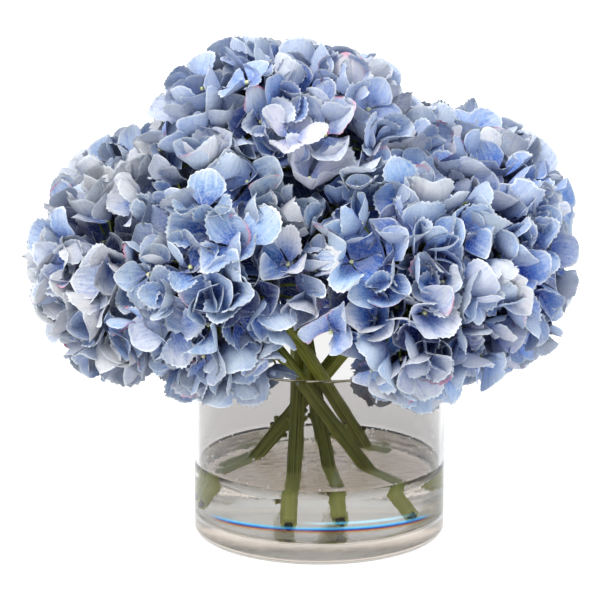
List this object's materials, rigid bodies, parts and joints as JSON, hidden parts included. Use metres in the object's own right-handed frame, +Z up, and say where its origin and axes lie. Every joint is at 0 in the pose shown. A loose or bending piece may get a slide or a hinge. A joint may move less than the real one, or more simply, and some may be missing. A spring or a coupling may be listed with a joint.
{
  "type": "hydrangeas in a glass vase",
  "caption": "Dome of blue mophead hydrangeas whose green stems cross in a low, clear glass cylinder vase with water in its foot.",
  "frame": {"origin": "centre of the vase's underside", "axes": "+Z up; -Y is the front of the arrangement; +X is to the right as seen from the front"},
  "size_m": [0.3286, 0.2834, 0.299],
  "materials": {
    "glass": "clear, polished",
    "water": "clear, wet",
    "stem": "satin, finely ribbed",
    "petals_blue": "matte, with pale edges",
    "petals_grey": "matte, with pale edges"
  },
  "bodies": {
    "root": {"vase": "glass", "water": "water", "stem_top": "stem", "stem_front_left": "stem", "stem_front_right": "stem", "stem_left": "stem", "stem_right": "stem", "stem_back_left": "stem", "stem_back_right": "stem", "stem_back": "stem", "bloom_top": "petals_blue", "bloom_front_left": "petals_blue", "bloom_front_right": "petals_blue", "bloom_left": "petals_grey", "bloom_right": "petals_blue", "bloom_back_left": "petals_grey", "bloom_back_right": "petals_blue", "bloom_back": "petals_grey"}
  },
  "joints": []
}
